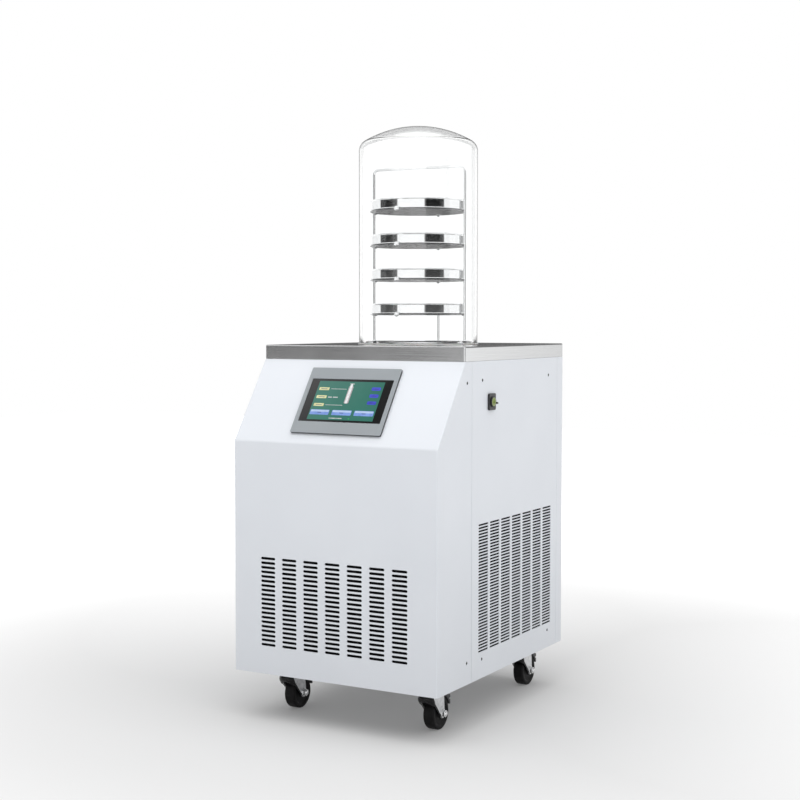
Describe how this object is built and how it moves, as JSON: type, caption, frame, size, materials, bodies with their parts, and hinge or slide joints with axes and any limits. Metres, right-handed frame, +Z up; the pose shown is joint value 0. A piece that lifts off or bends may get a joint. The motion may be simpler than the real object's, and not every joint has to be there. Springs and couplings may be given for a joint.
{
  "type": "freeze dryer",
  "caption": "Floor-standing laboratory freeze dryer on braked casters: slotted steel cabinet with a sloping touch panel, and a clear bell jar over a tray rack on the worktop.",
  "frame": {"origin": "on the floor, under the middle of the whole object's extent", "axes": "+Z up, front towards -Y, the vent valve's side towards +X"},
  "size_m": [0.4626, 0.579, 1.171],
  "materials": {
    "white_paint": "satin",
    "galvanised": "zinc",
    "brushed_steel": "brushed",
    "polished_steel": "polished",
    "clear_acrylic": "clear",
    "silicone": "matte",
    "black_rubber": "matte",
    "wheel_rubber": "matte",
    "black_plastic": "satin",
    "silver_frame": "satin",
    "screen_glass": "gloss",
    "olive_plastic": "satin",
    "copper": "drawn",
    "black_paint": "satin"
  },
  "bodies": {
    "cabinet": {"bell_jar": "clear_acrylic", "caster_plate_front_left": "galvanised", "caster_plate_front_right": "galvanised", "caster_plate_rear_left": "galvanised", "caster_plate_rear_right": "galvanised", "chassis": "galvanised", "cold_trap": "polished_steel", "compressor": "black_paint", "condenser": "galvanised", "control_box": "galvanised", "evaporator_coil": "copper", "fan_motor": "black_paint", "fan_shroud": "galvanised", "front_cover": "white_paint", "jar_seal": "silicone", "panel_frame": "silver_frame", "panel_housing": "black_plastic", "panel_screen": "screen_glass", "power_inlet": "black_plastic", "rack_base_ring": "polished_steel", "rack_foot_left": "black_rubber", "rack_foot_rear": "black_rubber", "rack_foot_right": "black_rubber", "rack_rear_leg": "polished_steel", "rack_rod_frame": "polished_steel", "rear_panel": "white_paint", "shelf_1": "brushed_steel", "shelf_2": "brushed_steel", "shelf_3": "brushed_steel", "shelf_4": "brushed_steel", "side_panel_left": "white_paint", "side_panel_right": "white_paint", "trap_insulation": "black_rubber", "tray_1": "polished_steel", "tray_2": "polished_steel", "tray_3": "polished_steel", "tray_4": "polished_steel", "vacuum_port": "polished_steel", "vent_valve_body": "black_plastic", "worktop": "brushed_steel"},
    "caster_front_right": {"caster_fork_front_right": "galvanised", "caster_axle_front_right": "galvanised"},
    "wheel_front_right": {"caster_wheel_front_right": "wheel_rubber"},
    "brake_front_right": {"caster_brake_front_right": "black_plastic"},
    "caster_front_left": {"caster_fork_front_left": "galvanised", "caster_axle_front_left": "galvanised"},
    "wheel_front_left": {"caster_wheel_front_left": "wheel_rubber"},
    "brake_front_left": {"caster_brake_front_left": "black_plastic"},
    "caster_rear_right": {"caster_fork_rear_right": "galvanised", "caster_axle_rear_right": "galvanised"},
    "wheel_rear_right": {"caster_wheel_rear_right": "wheel_rubber"},
    "brake_rear_right": {"caster_brake_rear_right": "black_plastic"},
    "caster_rear_left": {"caster_fork_rear_left": "galvanised", "caster_axle_rear_left": "galvanised"},
    "wheel_rear_left": {"caster_wheel_rear_left": "wheel_rubber"},
    "brake_rear_left": {"caster_brake_rear_left": "black_plastic"},
    "fan": {"fan_rotor": "black_plastic"},
    "valve_knob": {"vent_valve_knob": "olive_plastic"},
    "rocker": {"power_rocker": "black_plastic"}
  },
  "joints": [
    {"name": "swivel_front_right", "type": "hinge", "parent": "cabinet", "child": "caster_front_right", "pos_m": [0.1517, -0.193, 0.06], "axis": [0, 0, 1], "continuous": true},
    {"name": "wheel_spin_front_right", "type": "hinge", "parent": "caster_front_right", "child": "wheel_front_right", "pos_m": [0.1517, -0.171, 0.0315], "axis": [1, 0, 0], "continuous": true},
    {"name": "brake_press_front_right", "type": "hinge", "parent": "caster_front_right", "child": "brake_front_right", "pos_m": [0.1517, -0.173, 0.07], "axis": [-1, 0, 0], "range_deg": [0, 3]},
    {"name": "swivel_front_left", "type": "hinge", "parent": "cabinet", "child": "caster_front_left", "pos_m": [-0.1643, -0.193, 0.06], "axis": [0, 0, 1], "continuous": true},
    {"name": "wheel_spin_front_left", "type": "hinge", "parent": "caster_front_left", "child": "wheel_front_left", "pos_m": [-0.1643, -0.171, 0.0315], "axis": [1, 0, 0], "continuous": true},
    {"name": "brake_press_front_left", "type": "hinge", "parent": "caster_front_left", "child": "brake_front_left", "pos_m": [-0.1643, -0.173, 0.07], "axis": [-1, 0, 0], "range_deg": [0, 3]},
    {"name": "swivel_rear_right", "type": "hinge", "parent": "cabinet", "child": "caster_rear_right", "pos_m": [0.1517, 0.2025, 0.06], "axis": [0, 0, 1], "continuous": true},
    {"name": "wheel_spin_rear_right", "type": "hinge", "parent": "caster_rear_right", "child": "wheel_rear_right", "pos_m": [0.1517, 0.2245, 0.0315], "axis": [1, 0, 0], "continuous": true},
    {"name": "brake_press_rear_right", "type": "hinge", "parent": "caster_rear_right", "child": "brake_rear_right", "pos_m": [0.1517, 0.2225, 0.07], "axis": [-1, 0, 0], "range_deg": [0, 3]},
    {"name": "swivel_rear_left", "type": "hinge", "parent": "cabinet", "child": "caster_rear_left", "pos_m": [-0.1643, 0.2025, 0.06], "axis": [0, 0, 1], "continuous": true},
    {"name": "wheel_spin_rear_left", "type": "hinge", "parent": "caster_rear_left", "child": "wheel_rear_left", "pos_m": [-0.1643, 0.2245, 0.0315], "axis": [1, 0, 0], "continuous": true},
    {"name": "brake_press_rear_left", "type": "hinge", "parent": "caster_rear_left", "child": "brake_rear_left", "pos_m": [-0.1643, 0.2225, 0.07], "axis": [-1, 0, 0], "range_deg": [0, 3]},
    {"name": "fan_spin", "type": "hinge", "parent": "cabinet", "child": "fan", "pos_m": [-0.0063, -0.2012, 0.2178], "axis": [0, 1, 0], "continuous": true},
    {"name": "vent_valve_turn", "type": "hinge", "parent": "cabinet", "child": "valve_knob", "pos_m": [0.2237, -0.0755, 0.621], "axis": [1, 0, 0], "range_deg": [0, 90]},
    {"name": "power_rocker_tip", "type": "hinge", "parent": "cabinet", "child": "rocker", "pos_m": [-0.1413, 0.2658, 0.173], "axis": [-1, 0, 0], "range_deg": [0, 16]}
  ]
}
